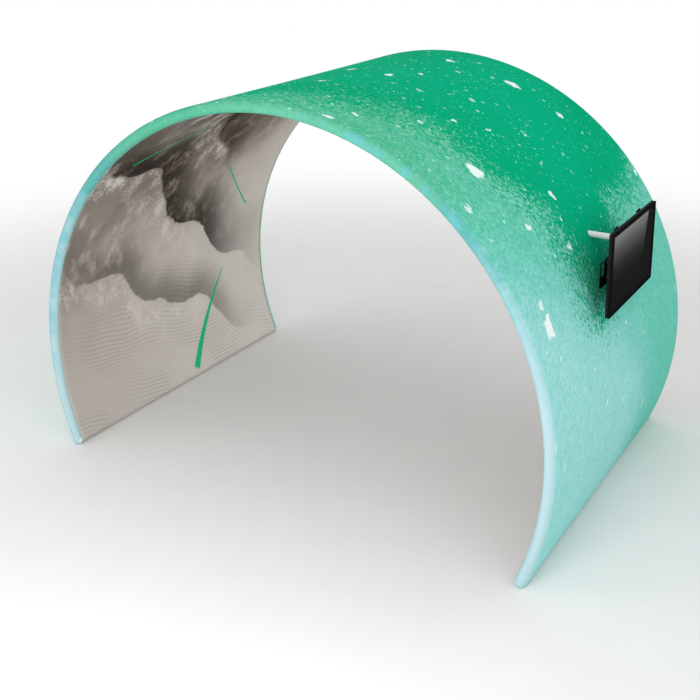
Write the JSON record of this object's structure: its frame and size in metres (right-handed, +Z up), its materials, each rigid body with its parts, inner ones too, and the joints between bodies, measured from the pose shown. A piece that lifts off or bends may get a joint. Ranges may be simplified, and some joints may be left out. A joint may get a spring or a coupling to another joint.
{
  "type": "fabric display arch",
  "caption": "Walk-through arch of stretched printed fabric over a curved tube frame, with a tilting flat display held off its outer side by an arm.",
  "frame": {"origin": "on the floor, midway between the two feet and midway between the front and back hoops", "axes": "+X across the arch towards the side with the display, +Y from the front hoop to the back hoop along the walk-through, +Z up"},
  "size_m": [3.458, 2.2864, 2.4217],
  "materials": {
    "outer_fabric": "matte",
    "inner_fabric": "matte",
    "zipper_tape": "matte",
    "zipper_plastic": "satin",
    "zipper_metal": "satin",
    "frame_tube": "satin",
    "connector": "matte",
    "spring_steel": "polished",
    "fastener_steel": "satin",
    "anchor_metal": "satin",
    "arm_paint": "satin",
    "mount_paint": "matte",
    "knob_plastic": "matte",
    "display_plastic": "satin",
    "display_glass": "gloss",
    "button_plastic": "satin",
    "inlet_plastic": "matte"
  },
  "bodies": {
    "arch": {"outer_fabric_panel": "outer_fabric", "inner_fabric_panel": "inner_fabric", "zipper_tapes": "zipper_tape", "zipper_teeth": "zipper_plastic", "front_left_lower_tube": "frame_tube", "front_left_upper_tube": "frame_tube", "front_right_upper_tube": "frame_tube", "front_right_lower_tube": "frame_tube", "back_left_lower_tube": "frame_tube", "back_left_upper_tube": "frame_tube", "back_right_upper_tube": "frame_tube", "back_right_lower_tube": "frame_tube", "left_base_tube": "frame_tube", "left_cross_tube": "frame_tube", "top_cross_tube": "frame_tube", "right_cross_tube": "frame_tube", "right_base_tube": "frame_tube", "front_left_corner": "connector", "front_left_tee": "connector", "front_top_tee": "connector", "front_right_tee": "connector", "front_right_corner": "connector", "back_left_corner": "connector", "back_left_tee": "connector", "back_top_tee": "connector", "back_right_tee": "connector", "back_right_corner": "connector", "frame_screws": "fastener_steel", "arm_anchor_block": "anchor_metal", "arm_stud": "fastener_steel", "mount_arm": "arm_paint", "adaptor_plate": "mount_paint", "adaptor_bolts": "fastener_steel", "wall_plate": "mount_paint", "front_hook_bracket": "mount_paint", "back_hook_bracket": "mount_paint", "tilt_pivot_bolts": "fastener_steel"},
    "display": {"front_tilt_rail": "mount_paint", "back_tilt_rail": "mount_paint", "vesa_screws": "fastener_steel", "display_back_cover": "display_plastic", "display_bezel": "display_plastic", "display_screen": "display_glass", "display_power_inlet": "inlet_plastic"},
    "power_button": {"display_power_button": "button_plastic"},
    "front_knob": {"front_tilt_knob": "knob_plastic"},
    "back_knob": {"back_tilt_knob": "knob_plastic"},
    "zip_slider": {"zipper_slider": "zipper_metal"},
    "zip_pull": {"zipper_pull": "zipper_metal"},
    "front_left_base_snap": {"front_left_base_button": "spring_steel"},
    "front_left_side_snap": {"front_left_side_button": "spring_steel"},
    "front_top_snap": {"front_top_button": "spring_steel"},
    "front_right_side_snap": {"front_right_side_button": "spring_steel"},
    "front_right_base_snap": {"front_right_base_button": "spring_steel"},
    "back_left_base_snap": {"back_left_base_button": "spring_steel"},
    "back_left_side_snap": {"back_left_side_button": "spring_steel"},
    "back_top_snap": {"back_top_button": "spring_steel"},
    "back_right_side_snap": {"back_right_side_button": "spring_steel"},
    "back_right_base_snap": {"back_right_base_button": "spring_steel"}
  },
  "joints": [
    {"name": "display_tilt", "type": "hinge", "parent": "arch", "child": "display", "pos_m": [1.664, 0, 1.48505], "axis": [0, 1, 0], "range_deg": [-5, 15]},
    {"name": "front_knob_turn", "type": "hinge", "parent": "arch", "child": "front_knob", "pos_m": [1.664, -0.23, 1.48505], "axis": [0, -1, 0], "range_deg": [0, 360]},
    {"name": "back_knob_turn", "type": "hinge", "parent": "arch", "child": "back_knob", "pos_m": [1.664, 0.23, 1.48505], "axis": [0, 1, 0], "range_deg": [0, 360]},
    {"name": "power_press", "type": "slide", "parent": "display", "child": "power_button", "axis": [0, 0, 1], "range_m": [0, 0.001], "stiffness_N_per_m": 600, "springref_m": -0.001},
    {"name": "zip_slide", "type": "slide", "parent": "arch", "child": "zip_slider", "axis": [0, 1, 0], "range_m": [0, 2.022]},
    {"name": "pull_swing", "type": "hinge", "parent": "zip_slider", "child": "zip_pull", "pos_m": [1.54858, -1.011, 0.09685], "axis": [0.359, 0, 0.9333], "range_deg": [0, 170]},
    {"name": "front_left_base_press", "type": "slide", "parent": "arch", "child": "front_left_base_snap", "axis": [0.3891, 0, -0.9212], "range_m": [0, 0.0052], "stiffness_N_per_m": 1200, "springref_m": -0.002},
    {"name": "front_left_side_press", "type": "slide", "parent": "arch", "child": "front_left_side_snap", "axis": [-0.541, 0, -0.841], "range_m": [0, 0.0052], "stiffness_N_per_m": 1200, "springref_m": -0.002},
    {"name": "front_top_press", "type": "slide", "parent": "arch", "child": "front_top_snap", "axis": [-1, 0, 0], "range_m": [0, 0.0052], "stiffness_N_per_m": 1200, "springref_m": -0.002},
    {"name": "front_right_side_press", "type": "slide", "parent": "arch", "child": "front_right_side_snap", "axis": [0.541, 0, -0.841], "range_m": [0, 0.0052], "stiffness_N_per_m": 1200, "springref_m": -0.002},
    {"name": "front_right_base_press", "type": "slide", "parent": "arch", "child": "front_right_base_snap", "axis": [-0.3891, 0, -0.9212], "range_m": [0, 0.0052], "stiffness_N_per_m": 1200, "springref_m": -0.002},
    {"name": "back_left_base_press", "type": "slide", "parent": "arch", "child": "back_left_base_snap", "axis": [0.3891, 0, -0.9212], "range_m": [0, 0.0052], "stiffness_N_per_m": 1200, "springref_m": -0.002},
    {"name": "back_left_side_press", "type": "slide", "parent": "arch", "child": "back_left_side_snap", "axis": [-0.541, 0, -0.841], "range_m": [0, 0.0052], "stiffness_N_per_m": 1200, "springref_m": -0.002},
    {"name": "back_top_press", "type": "slide", "parent": "arch", "child": "back_top_snap", "axis": [-1, 0, 0], "range_m": [0, 0.0052], "stiffness_N_per_m": 1200, "springref_m": -0.002},
    {"name": "back_right_side_press", "type": "slide", "parent": "arch", "child": "back_right_side_snap", "axis": [0.541, 0, -0.841], "range_m": [0, 0.0052], "stiffness_N_per_m": 1200, "springref_m": -0.002},
    {"name": "back_right_base_press", "type": "slide", "parent": "arch", "child": "back_right_base_snap", "axis": [-0.3891, 0, -0.9212], "range_m": [0, 0.0052], "stiffness_N_per_m": 1200, "springref_m": -0.002}
  ]
}
